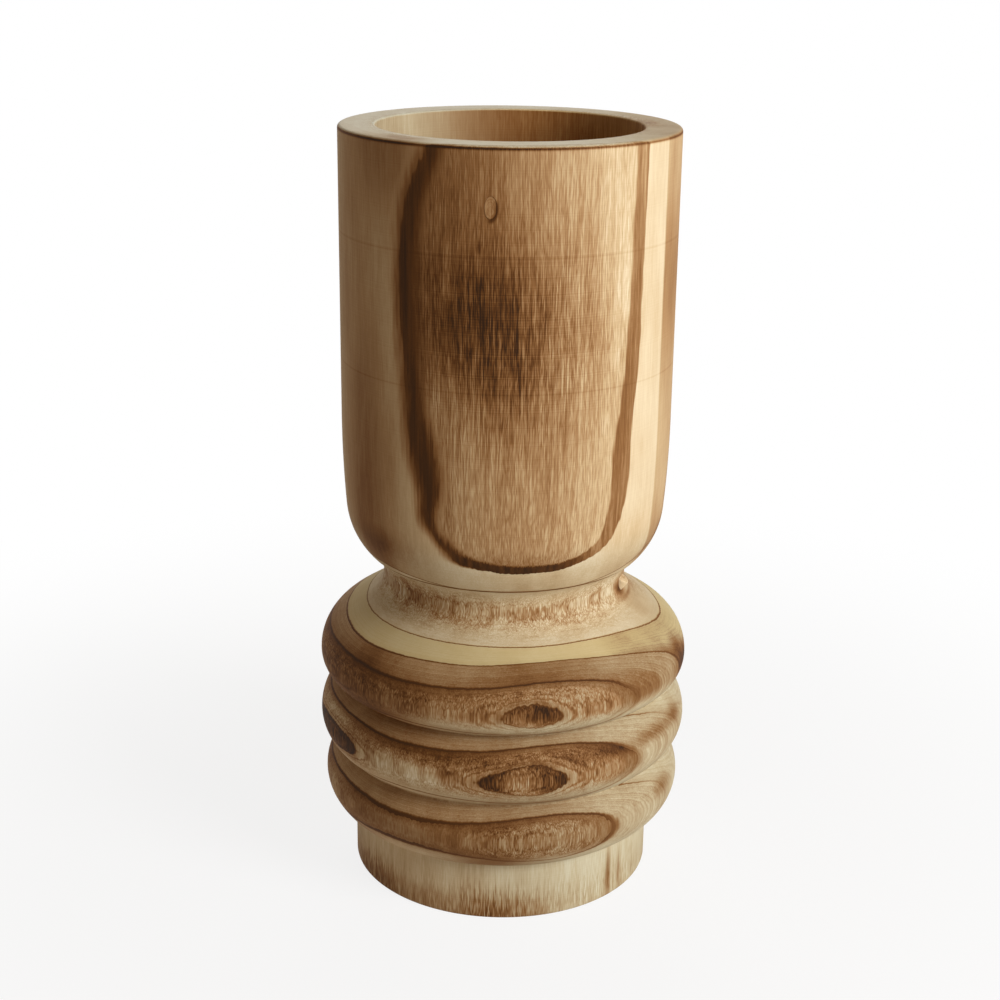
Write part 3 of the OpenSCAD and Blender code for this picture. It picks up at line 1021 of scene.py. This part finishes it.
pin = stub_mesh(CUP_KNOT, 0.0, CUP_KNOT["d"])
cut_flush(pin, CUP_KNOT["radius"])
cup_knot = make_piece(pin, "pin_knot", "cup_knot")
spur = stub_mesh(NECK_KNOT, 0.0, NECK_KNOT["proud"])
round_end(spur, NECK_KNOT["radius"], STUB_ROUNDING)
neck_knot = make_piece(spur, "branch_stub", "neck_knot")
print("made", cup_knot.name, "and", neck_knot.name)

# %% [markdown]
# A knot has rings of its own, round the branch and not round the log. So its shader measures the
# distance from the branch's axis, and its rings and its thin bark follow that. The small knot shares
# the crescent of shadow with the log. The plug was cut from a board, so its grain crosses the foot.

# %% Materials of the knots and the plug
def branch_radius(place, knot):
    """The distance from the branch's own axis in millimetres."""
    matrix = branch_matrix(knot)
    offset = place.node("ShaderNodeVectorMath", {"operation": "SUBTRACT"}, {0: place, 1: matrix.translation})
    dot = {"operation": "DOT_PRODUCT"}
    sides = [matrix.col[i].xyz / MM for i in (0, 1)]
    x, y = (place.node("ShaderNodeVectorMath", dot, {0: offset, 1: side}, 1) for side in sides)
    return (x * x + y * y).sqrt()


def knot_material(name, knot, tones, rough):
    """The material of a stub, with the tones of its middle, its edge and its bark."""
    material, shader, place = new_material(name)
    spot = Spot(place)
    middle, edge, bark = tones
    away = branch_radius(place, knot) + spot.noise(1.6, 3.0) * 0.12
    r = knot["d"] / 2
    tone = away.rise(0.0, r).blend(middle, edge) + (away * 2.6).layers() * 0.3
    tone = tone + crossing(spot.noise(0.8, 7.0), 0.5) * 0.16 + spot.noise(0.5, 3.0) * 0.05
    tone = away.rise(r * 0.88, r).blend(tone, bark)
    if knot is CUP_KNOT:
        tone = tone + knot_crescent(spot) * 0.4
    finish_wood(shader, wood_colours(tone), tone * 0.15 + rough, tone * -1.0, 0.1)
    return material


def plug_material():
    """The material of the plug: a board whose grain runs across the log, along its X."""
    material, shader, place = new_material("plug_board")
    log = Spot(place)
    board = Spot(place.node("ShaderNodeCombineXYZ", {}, {0: log.y * MM, 1: log.z * MM, 2: log.x * MM}))
    arch = board.x * board.x * -0.012 + board.z * 0.09 + board.noise(9.0, 60.0) * 0.5
    vessels = crossing(board.noise(0.9, 26.0), 0.5)
    tone = arch.layers(2.0) * 0.7 + (board.x * 2.2).layers() * 0.06 + vessels * 0.16 + 0.28
    finish_wood(shader, wood_colours(tone), tone * 0.15 + 0.66, tone * -1.0, 0.1)
    return material


cup_knot.data.materials.append(knot_material("pin_knot_wood", CUP_KNOT, (0.48, 0.44, 0.5), 0.55))
neck_knot.data.materials.append(knot_material("branch_stub_wood", NECK_KNOT, (0.2, 0.06, 0.12), 0.6))
plug.data.materials.append(plug_material())
print("small pieces have their wood")

# %% [markdown]
# The stage is a plain white floor and a white world. The camera sees both as white, but the light
# that they throw on the vase is weaker, so that the wood keeps its own colours. Close to the vase the
# floor glows less and takes more of the lamps' light, and that keeps the shadow on it. A large soft
# lamp stands at the right front, and a weak one behind the vase lights its rim.

# %% Floor, world and lamps
FLOOR_SIZE, FLOOR_COLOUR = 24.0, colour(235, 235, 235)
SHADOW_NEAR, SHADOW_FAR, SHADOW_SHARE = 150.0, 600.0, 0.16
WORLD_LIGHT, WORLD_COLOUR, WHITE = 0.2, colour(255, 231, 205), (1, 1, 1, 1)
LAMP_AIM = (0, 0, 0.2)


def seen_directly(value):
    """1 for rays that show the background itself: camera, glossy and transmission rays."""
    path = value.tree.nodes.new("ShaderNodeLightPath")
    names = ("Is Camera Ray", "Is Glossy Ray", "Is Transmission Ray")
    camera_ray, glossy, through = (Value(value.tree, path.outputs[n]) for n in names)
    return camera_ray.highest(glossy).highest(through)


def floor_material():
    """White where it is seen, and a pale matt floor to the light."""
    material, shader, place = new_material("floor_white")
    shader.inputs["Base Color"].default_value = FLOOR_COLOUR
    shader.inputs["Roughness"].default_value = 0.9
    shader.inputs["Specular IOR Level"].default_value = 0.0
    near = Spot(place).radius.rise(SHADOW_FAR, SHADOW_NEAR) * SHADOW_SHARE
    glow = place.node("ShaderNodeEmission", {}, {})
    lit = Value(place.tree, shader.outputs[0])
    share = seen_directly(place) * (1.0 - near)
    mixed = place.node("ShaderNodeMixShader", {}, {0: share, 1: lit, 2: glow})
    place.tree.links.new(mixed.socket, place.tree.nodes["Material Output"].inputs["Surface"])
    return material


def make_floor():
    """Lays the floor under the foot."""
    mesh = bmesh.new()
    bmesh.ops.create_grid(mesh, x_segments=2, y_segments=2, size=FLOOR_SIZE / 2)
    data = bpy.data.meshes.new("floor")
    mesh.to_mesh(data)
    mesh.free()
    floor = bpy.data.objects.new("floor", data)
    bpy.context.scene.collection.objects.link(floor)
    data.materials.append(floor_material())


def light_world():
    """A world that is white where it is seen, and throws a weaker and warmer light."""
    world = bpy.data.worlds.new("studio")
    bpy.context.scene.world = world
    world.use_nodes = True
    tree = world.node_tree
    background = tree.nodes["Background"]
    seen = seen_directly(Value(tree, None))
    tree.links.new(seen.tint(WORLD_COLOUR, WHITE).socket, background.inputs["Color"])
    tree.links.new(seen.blend(WORLD_LIGHT, 1.0).socket, background.inputs["Strength"])


def add_lamp(name, place, size, watts):
    """A round soft lamp that faces the vase."""
    data = bpy.data.lights.new(name, "AREA")
    data.shape, data.size, data.energy = "DISK", size, watts
    lamp = bpy.data.objects.new(name, data)
    toward = (Vector(LAMP_AIM) - Vector(place)).to_track_quat("-Z", "Y")
    lamp.matrix_world = Matrix.Translation(place) @ toward.to_matrix().to_4x4()
    bpy.context.scene.collection.objects.link(lamp)


make_floor()
light_world()
add_lamp("front", (1.15, -0.95, 0.85), 0.8, 23.0)
add_lamp("back", (-0.1, 1.5, 0.9), 1.0, 5.5)
bpy.context.scene.view_settings.view_transform = "Standard"
print("stage set")
